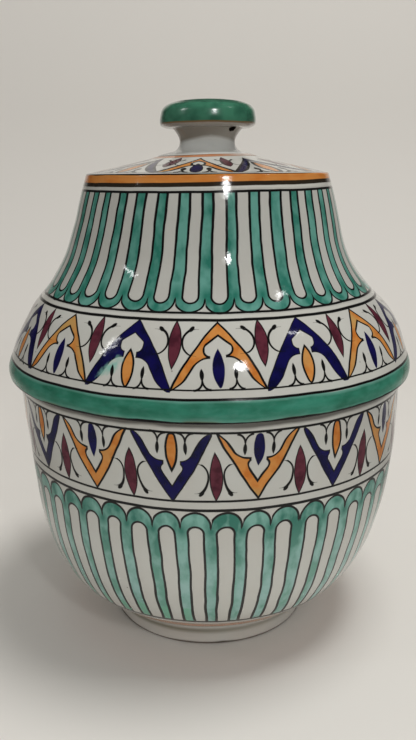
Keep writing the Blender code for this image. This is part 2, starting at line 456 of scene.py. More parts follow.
def mix(tree, share, first, second):
    """A colour between two, by a share from 0 to 1."""
    node = tree.nodes.new("ShaderNodeMix")
    node.data_type = "RGBA"
    for index, value in ((0, share), (6, first), (7, second)):
        feed(node.inputs[index], value)
    return node.outputs[2]


# Unsteadiness of the brush, in millimetres: how far the strokes drift, over what distance
TREMBLE = 3.2
TREMBLE_CLOUD = 26
RING_HOLD = 0.7              # rings were drawn on the wheel, so they keep this much to their place


class Finish:
    """One glazed surface: its places in millimetres, and colours brushed over each other."""

    def __init__(self, name, color=WHITE, other=WHITE_WARM):
        self.material, self.tree, self.shader = new_material(name)
        place = self.node("ShaderNodeTexCoord").outputs["Object"]
        self.place = self.vector("MULTIPLY", place, (1000, 1000, 1000))
        wobble = self.node("ShaderNodeTexNoise", Vector=self.place, Scale=1 / TREMBLE_CLOUD,
                           Detail=3, Roughness=0.45)
        centred = self.vector("SUBTRACT", wobble.outputs["Color"], (0.5, 0.5, 0.5))
        drift = self.vector("MULTIPLY", centred, (TREMBLE, TREMBLE, TREMBLE))
        x, y, self.z = self.parts(self.vector("ADD", self.place, drift))
        self.angle = calc("ARCTAN2", x, -y)
        self.radius = reach(x, y)
        true_x, true_y, true_z = self.parts(self.place)
        self.ring_z = true_z * RING_HOLD + self.z * (1 - RING_HOLD)
        true_radius = reach(true_x, true_y)
        self.ring_radius = true_radius * RING_HOLD + self.radius * (1 - RING_HOLD)
        # The first coat drifts between two tones
        self.color = self.blend(ramp(self.noise(30, 3.0), 0.3, 0.75), color, other)

    def node(self, kind, **values):
        """A new node, with values for its named inputs."""
        node = self.tree.nodes.new(kind)
        for name, value in values.items():
            feed(node.inputs[name], value)
        return node

    def vector(self, operation, first, second):
        node = self.node("ShaderNodeVectorMath")
        node.operation = operation
        feed(node.inputs[0], first)
        feed(node.inputs[1], second)
        return node.outputs[0]

    def parts(self, socket):
        node = self.node("ShaderNodeSeparateXYZ", Vector=socket)
        return [Term(output) for output in node.outputs]

    def noise(self, feature, detail=1.0, stretch=(1, 1, 1)):
        """Cloudy value about 0.5 whose clouds are about feature millimetres across."""
        place = self.vector("MULTIPLY", self.place, stretch)
        node = self.node("ShaderNodeTexNoise", Vector=place, Scale=1 / feature, Detail=detail)
        return Term(node.outputs["Fac"])

    def chance(self, index, seed=0):
        """A fixed random value from 0 to 1 for each whole number."""
        node = self.node("ShaderNodeTexWhiteNoise")
        node.noise_dimensions = "1D"
        feed(node.inputs["W"], index + (seed + 0.37))
        return Term(node.outputs["Value"])

    def blend(self, share, first, second):
        return mix(self.tree, share, first, second)

    def mottled(self, light, deep, feature=7, start=0.42, end=0.66, stretch=(1, 1, 1)):
        """A wash that has pooled darker in places."""
        return self.blend(ramp(self.noise(feature, 2.0, stretch), start, end), light, deep)

    def brush(self, mask, color):
        """Paints a colour over what is there, where the mask is 1."""
        self.color = self.blend(mask, self.color, color)

    def fill(self, distance, color):
        self.brush(within(distance), color)

    def outline(self, distance, half_width, color=BLACK):
        self.brush(within(abs(distance) - half_width), color)

    def ring(self, level, half_width, color=BLACK):
        self.outline(self.ring_z - level, half_width, color)

    def specks(self, amount=0.035):
        """Small iron specks in the glaze."""
        node = self.node("ShaderNodeTexVoronoi", Vector=self.place, Scale=1 / 16)
        self.brush(ramp(Term(node.outputs["Distance"]), 0.005, amount, 0.8, 0), UMBER)

    def fire(self, roughness=0.06, spread=0.06, wave=0.00018, grain=0.000012, shine=0.5):
        """Links the colours to the shader, and adds gloss and an uneven glaze surface."""
        gloss = ramp(self.noise(18, 2.0), 0.3, 0.75, roughness, roughness + spread)
        rings = self.noise(5, 1.0, (0.12, 0.12, 1))
        swell = self.node("ShaderNodeBump", Distance=wave,
                          Height=self.noise(8, 2.5) + rings * 0.3)
        fine = self.node("ShaderNodeBump", Distance=grain, Height=self.noise(1.3, 2.0),
                         Normal=swell.outputs[0])
        for name, value in (("Base Color", self.color), ("IOR", 1.5), ("Roughness", gloss),
                            ("Specular IOR Level", shine), ("Normal", fine.outputs[0])):
            feed(self.shader.inputs[name], value)
        return self.material


# Painted decoration, in millimetres. Heights are above the ground.
LINE = 0.58                  # half the width of a ring line
STRIPES = 40                 # on the lid
ARCHES = 46                  # round the bowl
CHEVRONS = 16
CONE_CHEVRONS = 10
CONE_CELL = 21               # half a chevron's width on the cone, before it narrows

# Painted rings: their radius on the cone, and their height elsewhere
KNOB_FOOT_RING = 27.2
CONE_FEET = 61.8
CONE_RING = 62.0
CONE_EDGE = 63.6
KNOB_HEAD_RING = 278.6
SHOULDER_EDGE = 252.6
SHOULDER_BAND = 251.0
SHOULDER_DARK_LINE = 248.4
STRIPE_TOP = 245.05
STRIPE_FOOT = 192.3
CHEVRON_TOP = 189.5
CHEVRON_FOOT = 161.6
BEAD_TOP = 157.6
HANGING_TOP = 141.0
HANGING_FOOT = 107.0
ARCH_TOP = 102.3
ARCH_FOOT = 30.4
FOOT_BAND = 22.4
# Level of a painted reflection on the foot
FOOT_GLEAM = 14.5
FOOT_FOLD = 9.4


def around(paint, count, phase, shift=0):
    """(angle from the nearest of count marks, number of that mark)."""
    step = tau / count
    turn = (paint.angle - shift - radians(phase)) / step
    index = calc("ROUND", turn)
    return (turn - index) * step, index


def up_wall(paint, level, radius, rise, inward):
    """Distance up a sloping wall from the ring at that level and radius."""
    return (paint.z - level) * rise + (radius - paint.radius) * inward


def paint_foot_ring(paint, where):
    """Reddish ring round the knob's foot, wider on its left and fainter on its right."""
    side = sine(paint.angle)
    fade = ramp(side, 0.05, 0.6, 1, 0.3) * where
    distance = abs(paint.ring_radius - side * -2.0 - KNOB_FOOT_RING)
    paint.brush(within(distance - 2.0) * fade, RUST)
    paint.brush(within(distance - 1.5) * fade, SALMON)


# cusp is the height of the points between scallops, and pressed how much the scallops are
# flattened. slot is the height of the slots' round ends, and width gives the slots'
# half-width as a share of half a stripe's spacing.
LID_STRIPES = {"count": STRIPES, "phase": 3.3, "cusp": 6.8, "pressed": 1.09, "slot": 5.2,
               "width": 0.555}
BOWL_STRIPES = {"count": ARCHES, "phase": 4.6, "cusp": 8.0, "pressed": 0.91, "slot": 7.9,
                "width": 0.57}


def paint_stripes(paint, form, base, stroke, light, deep, shift=0):
    """Green stripes joined by a scalloped edge, round slots that stay white.

    base is the height above the scallops' edge line, measured away from it, and stroke is
    half an outline's width.
    """
    white = paint.color
    count, cusp = form["count"], form["cusp"]
    local, index = around(paint, count, form["phase"], shift)
    half = paint.radius * (pi / count)
    across = local * paint.radius + (paint.chance(index) - 0.5) * 0.9
    scallop = reach(across, low(base - cusp, 0) * form["pressed"]) - half
    slot_width = half * ((paint.chance(index, 7) - 0.5) * 0.1 + form["width"])
    slot_edge = reach(across, low(base - form["slot"] - slot_width, 0)) - slot_width

    # The wash is deeper at the cusps, and each stripe has its own tone and slant
    cell, place = around(paint, count, form["phase"] + 180 / count, shift)
    seam = cell * paint.radius
    pooled = ramp(reach(seam, (base - cusp - 2.2) * 0.7), 0.6, 4.6, 0.9, 0)
    tilted = seam * (paint.chance(place, 3) - 0.5) * 0.1 + (paint.chance(place, 5) - 0.5) * 0.16
    tilted = tilted * ramp(abs(seam), half * 0.6, half * 0.95, 1, 0)
    wash = ramp(paint.noise(7, 3.0, (1, 1, 0.6)) + tilted, 0.37, 0.66, 0, 0.9)
    green = paint.blend(high(wash, pooled), light, deep)

    paint.fill(low(scallop, cusp - base), green)
    edge = ramp(base - cusp, 0, 2.2, stroke, -0.2)
    paint.outline(scallop, edge)
    paint.fill(slot_edge, white)
    paint.outline(slot_edge, stroke)


# Chevrons. Each pair holds the value on an orange arch and the value on a blue one; slope,
# roof and arch_slope hold the directions that the edges face, across and up. A tendril is
# its centre, radius, squeeze, span of heights and the place of its blob.
UPPER = {"apex": 31.8, "slope": (0.831, 0.556), "bow": 1.5, "lobe": (3.3, 2.7),
         "lobe_level": (18.7, 19.4), "tip": (25.5, 26.2), "roof": (0.62, 0.785),
         "throat": (3.9, 3.4), "arch": (12.2, 11.5), "arch_level": (9.3, 8.6),
         "arch_slope": (0.848, 0.53), "arch_top": (15.3, 14.4), "skew": 0, "foot": 1.6,
         "leaf": (19.3, 17.6), "leaf_width": 2.7, "side_leaf": (9.6, 32.2, 2.75),
         "root": (7.6, 4.7, 10.4), "stroke": 0.50, "root_start": 0, "root_width": 0.46,
         "tendril": ((9.7, 22.2), 6.5, (1, 1), (16.0, 28.2), (6.9, 28.2))}
CONE = {**UPPER, "arch": (10.4, 12.6), "lobe": (1.6, 2.0), "throat": (2.6, 3.0),
        "arch_top": (15.3, 23.0), "leaf": (18.8, 24.0), "leaf_width": 3.7,
        "side_leaf": (12.4, 33.6, 4.3), "stroke": 1.0, "root_start": -2.0, "root_width": 0.8}
LOWER = {"apex": 33.4, "slope": (0.861, 0.509), "bow": 0.8, "lobe": (2.1, 2.3),
         "lobe_level": (16.2, 18.0), "tip": (24.8, 26.6), "roof": (0.83, 0.558),
         "throat": (4.1, 4.4), "arch": (11.5, 12.1), "arch_level": (8.5, 8.5),
         "arch_slope": (0.871, 0.492), "arch_top": (12.8, 14.6), "skew": 0.6, "foot": 0.2,
         "leaf": (17.0, 18.6), "leaf_width": 2.7, "side_leaf": (9.3, 33.8, 3.1),
         "root": (6.8, 4.9, 11.2), "stroke": 0.57, "root_start": -2.4, "root_width": 0.46,
         "tendril": ((9.5, 21.4), 5.7, (0.6, 0.88), (15.3, 30.0), (6.8, 30.2))}


def paint_arches(paint, x, y, seam, blue, form):
    """Pointed arches in orange and blue by turns, with leaves; returns the roots' distance.

    x is measured across from the arch's middle, y up from its feet, and seam across from
    the line between two arches. blue is 1 on blue arches and 0 on orange ones.
    """
    def pick(name):
        orange, cobalt = form[name]
        return blue * (cobalt - orange) + orange

    # Band of the arch, between its bowed outside and the onion-shaped opening inside
    side = abs(x)
    part = y / form["apex"] * 2 - 1
    bow = (1 - part * part) * form["bow"]
    outer = side * form["slope"][0] + (y - form["apex"]) * form["slope"][1] - bow
    lobe = reach(high(side - pick("lobe"), 0), high(pick("lobe_level") - y, 0)) - 3.1
    roof = side * form["roof"][0] + (y - pick("tip")) * form["roof"][1]
    onion = rounded(lobe, roof, 1)
    throat = high(side - pick("throat"), abs(y - pick("arch_top") - 1) - 2.6)
    leg = (side - pick("arch") + calc("SIGN", x) * form["skew"]) * form["arch_slope"][0]
    leg = leg + (y - pick("arch_level")) * form["arch_slope"][1]
    taper = high(5.5 - y, 0)
    leg = leg - taper * taper * 0.085 * (1 - blue * 0.4)
    top = y - pick("arch_top") + high(side - 4, 0) * 0.12
    arch = rounded(leg, top, 3)
    band = high(outer, -low(low(onion, throat), arch)) - blue * 0.3
    band = rounded(band, -y - blue * form["foot"], blue * 2)

    orange = paint.mottled(ORANGE, ORANGE_DEEP, 6)
    orange = paint.blend(ramp(paint.noise(24), 0.56, 0.70, 0, 0.85), orange, OCHRE)
    cobalt = paint.mottled(COBALT, COBALT_DEEP, 6)
    stroke = form["stroke"]
    paint.fill(band, paint.blend(blue, orange, cobalt))
    paint.outline(band, stroke - blue * 0.25)

    leaf = almond(x, y, form["root_start"], pick("leaf"), form["leaf_width"])
    leaf = rounded(leaf, 0.4 - y, 1.2)
    paint.fill(leaf, paint.blend(blue, cobalt, orange))
    paint.outline(leaf, stroke - (1 - blue) * 0.6)
    side_leaf = almond(seam, y, *form["side_leaf"])
    paint.fill(side_leaf, paint.mottled(BURGUNDY, BURGUNDY_DEEP, 5))
    paint.outline(side_leaf, 0.25)

    place, bottom, end = form["root"]
    fork = abs(side - place)
    drop = almond(fork, y, bottom - 0.6, end, form["root_width"] * 2.06)
    legs = abs(reach(fork - bottom * 0.8, (y - bottom) * 0.86) - bottom * 0.8)
    legs = legs - form["root_width"]
    legs = high(legs, high(y - bottom, fork - bottom * 0.8))
    return low(drop, legs)


def tendril(seam, y, centre, radius, squeeze, span, blob):
    """Curved strokes on both sides of the leaf between two arches, each ending in a blob.

    squeeze flattens the curve above and below its centre.
    """
    side = abs(seam)
    rise = y - centre[1]
    tall = span[1] - span[0]
    curve = abs(reach(side - centre[0], high(rise * squeeze[0], -rise * squeeze[1])) - radius)
    curve = curve - ramp(abs(y - blob[1]), 0, tall, 0.62, 0.40)
    curve = high(curve, high(side - centre[0] - 0.6, abs(y - (span[0] + span[1]) / 2) - tall / 2))
    along = (side - blob[0]) * 0.7 + (y - blob[1]) * 0.7
    across = (side - blob[0]) * 0.7 - (y - blob[1]) * 0.7
    end = reach(along * 0.65, across * 1.1) - 1.05
    return low(curve, end)


def paint_chevrons(paint, count, phase, y, form, spread, shift=0):
    """Arches all round; returns the distance to their black roots and tendrils.

    spread turns an angle into a distance across.
    """
    local, index = around(paint, count, phase, shift)
    seam, _ = around(paint, count, phase + 180 / count, shift)
    seam = seam * spread
    blue = calc("FLOORED_MODULO", index, 2)
    root = paint_arches(paint, local * spread, y, seam, blue, form)
    return low(root, tendril(seam, y, *form["tendril"]))


def cone_finish():
    """Lid's top, from the knob's foot to the shoulder."""
    paint = Finish("lid_cone_glaze")
    side = sine(paint.angle + 0.1)
    shift = side * (side * side * 0.16 + 0.035)
    spread = CONE_CELL / radians(180 / CONE_CHEVRONS)
    y = (CONE_FEET - paint.radius) / 0.928
    marks = paint_chevrons(paint, CONE_CHEVRONS, -5.6, y, CONE, spread, shift)
    paint.fill(marks, BLACK)
    paint.outline(paint.ring_radius - CONE_RING, 0.4)
    paint_foot_ring(paint, 1)
    paint.brush(ramp(paint.ring_radius, CONE_EDGE, CONE_EDGE + 0.4), BLACK)
    front = cosine(paint.angle - 0.07)
    return paint.fire(shine=ramp(front, 0.86, 0.95, 0.5, 0.13))


def shoulder_finish():
    """Lid's shoulder: orange band between dark lines."""
    paint = Finish("lid_shoulder_glaze")
    orange = paint.mottled(ORANGE, ORANGE_DEEP, 14, stretch=(1, 1, 2.5))
    orange = paint.blend(0.3, orange, ORANGE_DEEP)
    tilt = sine(paint.angle)
    level = paint.ring_z - tilt * 0.75
    edge_level = paint.ring_z - tilt * 0.4
    paint.outline(level - SHOULDER_BAND, 2.3, orange)
    paint.brush(ramp(edge_level, SHOULDER_EDGE, SHOULDER_EDGE + 0.2), BLACK)
    paint.outline(level - SHOULDER_DARK_LINE, 1.0, UMBER)
    paint.outline(edge_level - STRIPE_TOP, LINE)
    return paint.fire()


def stripe_finish():
    """Lid's side: stripes over a scalloped edge."""
    # Its white is painted shade, darker than the jar's white
    paint = Finish("lid_stripe_glaze", WHITE_PAINTED_SHADE, WHITE_PAINTED_SHADE_WARM)
    white = paint.color
    side = sine(paint.angle)
    rise = ramp(paint.z, 196, 245)
    shift = rise * radians(1.6) + side * rise * 0.021 + radians(0.3)
    stroke = ramp(paint.z, 198, 240, 0.50, 0.66)
    base = up_wall(paint, 192.0, 90.0, 0.765, 0.644)
    paint_stripes(paint, LID_STRIPES, base, stroke, GREEN, GREEN_DEEP, shift)
    tilt = side * 0.4
    paint.brush(ramp(paint.z - tilt, STRIPE_TOP - 0.15, STRIPE_TOP + 0.15), white)
    paint.outline(paint.ring_z - tilt - STRIPE_TOP, LINE)
    paint.ring(STRIPE_FOOT, LINE * 0.8)
    paint.specks()
    return paint.fire()


def chevron_finish():
    """Lid's lower side: standing chevrons."""
    paint = Finish("lid_chevron_glaze")
    y = up_wall(paint, CHEVRON_FOOT, 109.5, 0.861, 0.509)
    marks = paint_chevrons(paint, CHEVRONS, 2.5, y, UPPER, paint.radius)
    # Green smeared over the white, to the left of the front
    along = (paint.angle + 0.43) * 85 + (y - 9) * 0.65
    smear = reach(along * 0.36, (paint.angle + 0.43) * 68 - (y - 9) * 0.82) - 2.2
    smear = smear + (paint.noise(3, 3.0) - 0.5) * 5
    paint.brush(ramp(smear, -1.5, 1.0, 0.9, 0), SMEAR_GREEN)
    paint.fill(marks, BLACK)
    paint.ring(CHEVRON_FOOT, LINE * 0.65)
    paint.ring(CHEVRON_TOP, LINE)
    paint.specks()
    return paint.fire()


def bead_finish():
    """Lid's rolled edge: green, with a painted shadow line along its hanging lower edge."""
    paint = Finish("lid_bead_glaze")
    green = paint.mottled(BEAD_GREEN, BEAD_GREEN_DEEP, 16, 0.38, 0.66, (1, 1, 2.4))
    # Painted highlight: lighter green along the bead's top edge
    green = paint.blend(ramp(paint.z, 155.8, 157.4, 0, 0.7), green, GREEN_MILD)
    cloudy = ramp(paint.noise(5, 3.0, (1, 1, 2)), 0.45, 0.7, 0, 0.15)
    green = paint.blend(cloudy, green, GREEN)
    front = cosine(paint.angle) * 0.5 + 0.5
    sag = front * front * (1 - LIP_LEAST) + LIP_LEAST
    height = paint.z - LID_BASE * 1000 + sag * LIP_DEPTH * 1000
    thin = ramp(height + paint.noise(12) * 2, 2.0, 4.2, 0.3, 0)
    green = paint.blend(thin, green, GREEN_THIN)
    paint.brush(ramp(paint.z, BEAD_TOP - 0.3, BEAD_TOP, 1, 0), green)
    paint.ring(BEAD_TOP, LINE)
    streak = ramp(paint.noise(20, 1.0), 0.5, 0.62) * ramp(height, 1.3, 2.1, 0.7, 0)
    paint.brush(streak, OLIVE)
    # Painted shadow of the gap under the hanging edge: black, with less gloss
    line = height - ramp(sine(paint.angle), 0.1, 0.4, 0, 0.5)
    paint.brush(ramp(line, 1.05, 1.4, 1, 0), BLACK)
    return paint.fire(roughness=0.2, shine=ramp(line, 1.2, 2.4, 0.08, 0.5))


def bowl_chevron_finish():
    """Bowl's upper side: hanging chevrons, and painted shade under the lid's edge."""
    paint = Finish("bowl_chevron_glaze")
    shift = radians(0.8) - sine(paint.angle) * radians(2)
    y = HANGING_TOP - paint.z
    marks = paint_chevrons(paint, CHEVRONS, 12.0, y, LOWER, paint.radius, shift)
    paint.fill(marks, BLACK)
    paint.ring(HANGING_TOP, LINE)
    paint.ring(HANGING_FOOT, LINE)
    # Painted shade under the lid's rolled edge, strongest at the front
    seam = ramp(paint.z, 142.6, 144.0, 0, 0.76) * ramp(paint.z, 145.2, 146.4, 1, 0.75)
    paint.brush(seam * ramp(cosine(paint.angle), 0.55, 0.95, 0.7, 1), UMBER)
    paint.specks()
    return paint.fire()


def bowl_stripe_finish():
    """Bowl's lower side: stripes under arches."""
    paint = Finish("bowl_stripe_glaze")
    white = paint.color
    lower = ramp(paint.z, 60, 92)
    green = paint.blend(lower, GREEN_THIN, GREEN_MILD)
    deep = paint.blend(lower, GREEN_THIN_DEEP, GREEN_DEEP)
    # The green ran and pooled low down, to the left of the front
    pool = ramp(paint.z + paint.noise(16) * 14, 47, 49, 0.85, 0)
    pool = pool * ramp(abs(paint.angle + 0.55), 0.42, 0.5, 1, 0)
    green = paint.blend(pool, green, POOLED)
    deep = paint.blend(pool, deep, POOLED)
    stroke = ramp(paint.z, 35, 75, 0.75, 0.55)
    paint_stripes(paint, BOWL_STRIPES, ARCH_TOP - 1 - paint.z, stroke, green, deep)
    paint.brush(ramp(paint.z, ARCH_FOOT - 0.1, ARCH_FOOT + 0.2, 1, 0), white)
    paint.ring(ARCH_TOP, 0.75)
    paint.ring(ARCH_FOOT, 0.9)
    paint.specks()
    return paint.fire()


def foot_finish():
    """Bowl's lowest part and foot."""
    paint = Finish("bowl_foot_glaze", WHITE_FOOT, WHITE_WARM)
    paint.ring(FOOT_BAND + 0.2, 3.5, RUST)
    paint.ring(FOOT_BAND, 2.8, SALMON)
    # Painted reflection: a lighter band round the foot
    paint.brush(ramp(abs(paint.ring_z - FOOT_GLEAM), 0, 2.5, 1, 0), WHITE_PAINTED_LIGHT)
    # Painted shade in the crease where the underside meets the foot, darker on the left
    fold = ramp(abs(paint.ring_z - FOOT_FOLD), 0.6, 3.4, 0.8, 0)
    paint.brush(fold * ramp(sine(paint.angle), -0.5, 0.6, 1, 0.55), OLIVE)
    # Painted contact shadow along the foot's bottom edge
    paint.brush(ramp(paint.z, 0.6, 1.6, 0.9, 0), UMBER)
    return paint.fire(roughness=0.16)


def plain_finish():
    """Plain white glaze on the insides."""
    paint = Finish("plain_glaze")
    paint.specks(0.05)
    return paint.fire(roughness=0.14, wave=0.00015)


def clay_finish():
    """Bare fired clay where glaze was wiped off, with painted contact shadow round the foot's
    outer edge.
    """
    paint = Finish("bare_clay", CLAY, CLAY_DARK)
    paint.specks(0.06)
    # Painted contact shadow where the foot meets the floor
    outer = ramp(paint.radius, 54, 56) * ramp(paint.radius, 60, 61, 1, 0)
    paint.brush(outer * ramp(paint.z, 1.5, 3, 0.85, 0), UMBER)
    return paint.fire(roughness=0.65, spread=0.15, grain=0.00006)


def vent_finish():
    """Soot-dark edge of the knob's vent."""
    paint = Finish("vent_edge", SCORCHED, UMBER)
    return paint.fire(roughness=0.5)


def knob_head_finish():
    """Green head, with a burnt edge at its sides, and its white underside darkened with painted
    shade.
    """
    # Its white tones are painted shade under the head
    paint = Finish("knob_head_glaze", WHITE_DEEP_SHADE, WHITE_SHADED)
    green = paint.mottled(KNOB_GREEN, KNOB_GREEN_DEEP, 9)
    ends = ramp(abs(sine(paint.angle)), 0.72, 0.92, 0.15, 1)
    paint.brush(ramp(paint.noise(2.2, 3.0), 0.42, 0.66, 0, 0.85) * ends, RUST)
    paint.brush(ramp(paint.noise(3.1, 3.0), 0.50, 0.66, 0, 0.8) * ends, SCORCHED)
    paint.brush(ramp(paint.z, KNOB_HEAD_RING - 0.1, KNOB_HEAD_RING + 0.3), green)
    paint.ring(KNOB_HEAD_RING, 0.42, RUST)
    feed(paint.shader.inputs["Coat Weight"], 1)
    feed(paint.shader.inputs["Coat Roughness"], 0.26)
    return paint.fire(roughness=0.18, spread=0.03, wave=0.00004, shine=1)


def knob_stem_finish():
    """White stem, with a brownish painted shadow of the head that ends in an arched edge."""
    # The stem's whites are painted light, lighter than the jar's white
    paint = Finish("knob_stem_glaze", WHITE_STEM_LIT, WHITE_PAINTED_LIGHT)
    side = sine(paint.angle)
    # Painted shadow of the head on the stem's upper part, arched at its lower edge and darker on
    # the left
    thin = ramp(paint.z + side * side * 3 - side * 0.5, 271.1, 272.9)
    paint.brush(thin * ramp(side, -0.5, 0.6, 1, 0.85), WHITE_SHADED)
    paint_foot_ring(paint, ramp(paint.z, 264, 265, 1, 0))
    return paint.fire(roughness=0.03, spread=0.03, wave=0.00006)


def make_bowl(finishes):
    """Bowl with its foot, ledge and collar."""
    foot_top = FOOT_RADIUS + FOOT_FLARE
    foot_knots = between(FOOT_SHARES, (FOOT_RADIUS, foot_top), (FOOT_EDGE, FOLD_LEVEL))
    belly_knots = between(BELLY_SHARES, (foot_top, BOWL_RADIUS),
                          (FOOT_HEIGHT, BOWL_HEIGHT - RIM_EDGE))
    belly = smooth_line(belly_knots, SPAN_STEPS)
    fold = (foot_top, FOLD_LEVEL)
    side = smooth_line(foot_knots + [fold] + belly_knots[1:], SPAN_STEPS)
    neck_level = BOWL_HEIGHT - COLLAR_DEPTH
    wall = [point for point in offset_line(belly, BOWL_WALL) if point.y < neck_level]
    floor_level = FOOT_RECESS_DEPTH + BOWL_FLOOR
    floor_bend = (wall[0].x * FLOOR_SHARES[0],
                  floor_level + (wall[0].y - floor_level) * FLOOR_SHARES[1])
    floor = smooth_line(((0, floor_level), floor_bend, wall[0]), SPAN_STEPS)
    collar_bore = COLLAR_RADIUS - COLLAR_WALL
    collar_top = BOWL_HEIGHT + COLLAR_HEIGHT
    neck = smooth_line((wall[-1], wall[-1].lerp(Vector((collar_bore, BOWL_HEIGHT)), 0.6),
                        (collar_bore, BOWL_HEIGHT)), 5)
    inside = filled(floor[:-1] + wall[:-1] + neck, INSIDE_FACET)
    inside += edge_arc(collar_bore + RIM_EDGE, collar_top - RIM_EDGE, RIM_EDGE, 180)
    seat = [inside[-1]] + edge_arc(COLLAR_RADIUS - RIM_EDGE, collar_top - RIM_EDGE, RIM_EDGE, 90)
    seat.append(Vector((COLLAR_RADIUS, BOWL_HEIGHT)))
    seat += edge_arc(BOWL_RADIUS - RIM_EDGE, BOWL_HEIGHT - RIM_EDGE, RIM_EDGE, 90)
    outside = filled([seat[-1]] + list(reversed(side))[1:], OUTSIDE_FACET)
    outside[-1] = Vector((FOOT_RADIUS, FOOT_EDGE))
    under = [outside[-1]] + edge_arc(FOOT_RADIUS - FOOT_EDGE, FOOT_EDGE, FOOT_EDGE, 0)[1:]
    ring_bore = FOOT_RADIUS - FOOT_RING_WIDTH
    under += edge_arc(ring_bore + FOOT_EDGE, FOOT_EDGE, FOOT_EDGE, 270)
    under.append(Vector((ring_bore, FOOT_RECESS_DEPTH)))
    under.append(Vector((0, FOOT_RECESS_DEPTH)))
    under = filled(under, UNDER_FACET)

    zones = ((HANGING_ZONE, "bowl_chevrons"), (ARCH_ZONE, "bowl_stripes"), (0, "foot"))
    piece = turned("bowl_shell", (
        (inside, "plain", (0.78, 0.995)),
        (filled(seat, INSIDE_FACET), "clay", (0.73, 0.775)),
        (outside, zones, (0.725, 0.06)),
        (under, "clay", (0.055, 0.005)),
    ), SEGMENTS, finishes, ("bowl_chevrons", "bowl_stripes", "foot", "plain", "clay"))
    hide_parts("bowl")
    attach(piece, "bowl")


def make_lid(finishes):
    """Bell-shaped lid with its cone, shoulder and rolled edge."""
    dome_radius = BEAD_RADIUS - BEAD_STEP
    bead_step = BEAD_STEP - BEAD_SLACK
    bead_top = LID_BASE + BEAD_HEIGHT
    cone_level = SHOULDER_LEVEL + SHOULDER_ROUND
    cone = smooth_line(between(CONE_SHARES, (KNOB_SEAT_RADIUS, SHOULDER_RADIUS - SHOULDER_ROUND),
                               (cone_level, KNOB_SEAT_LEVEL)), SPAN_STEPS)
    dome = smooth_line(between(DOME_SHARES, (SHOULDER_RADIUS, dome_radius),
                               (bead_top, SHOULDER_LEVEL)), SPAN_STEPS)
    shoulder = edge_arc(SHOULDER_RADIUS - SHOULDER_ROUND, SHOULDER_LEVEL, SHOULDER_ROUND, 90)
    bulge_level = LID_BASE + BEAD_HEIGHT * BEAD_BULGE_SHARE
    lip_level = LID_BASE - LIP_DEPTH
    upper_bead = smooth_line(between(BEAD_SHARES, (dome_radius, dome_radius + bead_step),
                                     (bulge_level, bead_top)), 5)
    lower_bead = quarter((dome_radius, bulge_level),
                         (bead_step, bulge_level - lip_level), 0, turn=-90)
    lip = between(LIP_SHARES, (dome_radius, BOWL_RADIUS + LIP_GAP), (lip_level, LID_BASE))
    bore = COLLAR_RADIUS + LID_SIDE_PLAY
    inner_dome = offset_line(dome, -LID_WALL)
    inner_cone = offset_line(cone, -LID_WALL)
    ceiling = [point for point in inner_cone if point.x < inner_dome[0].x - 0.002]
    wall = [point for point in inner_dome
            if point.y < ceiling[-1].y - 0.002 and point.y > bead_top]
    inside = edge_arc(bore + LID_EDGE, LID_BASE + LID_EDGE, LID_EDGE, 270)
    inside += reversed(wall)
    inside += reversed(ceiling)
    inside.append(Vector((0, KNOB_SEAT_LEVEL - LID_WALL)))
    outside = [Vector((0, KNOB_SEAT_LEVEL))] + cone[:-1] + shoulder[:-1] + dome[:-1]
    outside = filled(outside + upper_bead[:-1] + lower_bead[:-1] + lip, OUTSIDE_FACET)
    rest = filled([lip[-1], inside[0]], INSIDE_FACET)

    zones = ((SHOULDER_LEVEL + SHOULDER_ROUND * 0.92, "cone"), (SHOULDER_ZONE, "shoulder"),
             (STRIPE_ZONE, "stripes"), (CHEVRON_ZONE, "chevrons"), (0, "bead"))
    piece = turned("lid_shell", (
        (outside, zones, (0.995, 0.30)),
        (rest, "clay", (0.295, 0.27)),
        (filled(inside, INSIDE_FACET), "plain", (0.265, 0.005)),
    ), SEGMENTS, finishes, ("cone", "shoulder", "stripes", "chevrons", "bead", "plain", "clay"))
    # The rolled edge hangs lower at the front than at the back
    for vertex in piece.data.vertices:
        if vertex.co.z < LID_BASE - 1e-6:
            front = (1 - vertex.co.y / vertex.co.xy.length) / 2
            sag = LIP_LEAST + (1 - LIP_LEAST) * front ** 2
            vertex.co.z = LID_BASE - (LID_BASE - vertex.co.z) * sag
    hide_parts("lid")
    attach(piece, "lid")


def drill_vent(piece, finish, neck_level, head_level, flare_radius):
    """Cuts the vent from the hollow out through the flare."""
    facing = Vector((sin(VENT_AZIMUTH), -cos(VENT_AZIMUTH), 0))
    outward = facing * cos(VENT_DIP) - Vector((0, 0, sin(VENT_DIP)))
    level = neck_level + (head_level - neck_level) * VENT_HEIGHT_SHARE
    radius = KNOB_NECK_RADIUS + (flare_radius - KNOB_NECK_RADIUS) * VENT_REACH_SHARE
    bpy.ops.mesh.primitive_cylinder_add(vertices=28, radius=1, depth=flare_radius)
    drill = bpy.context.object
    for vertex in drill.data.vertices:
        # A ragged opening, pushed through the soft clay with a stick
        spot = Vector((vertex.co.x, vertex.co.y, 0)) * 1.7
        ragged = 1 + VENT_RAGGED * noise.noise(spot)
        vertex.co.x *= VENT_WIDTH * ragged
        vertex.co.y *= VENT_TALL * ragged
    opening = facing * radius + Vector((0, 0, level))
    drill.location = opening - outward * flare_radius * 0.3
    drill.rotation_euler = outward.to_track_quat("Z", "Y").to_euler()
    drill.data.materials.append(finish)
    cut = piece.modifiers.new("vent", "BOOLEAN")
    cut.operation = "DIFFERENCE"
    cut.solver = "EXACT"
    cut.object = drill
    bpy.context.view_layer.objects.active = piece
    bpy.ops.object.modifier_apply(modifier=cut.name)
    bpy.data.objects.remove(drill, do_unlink=True)


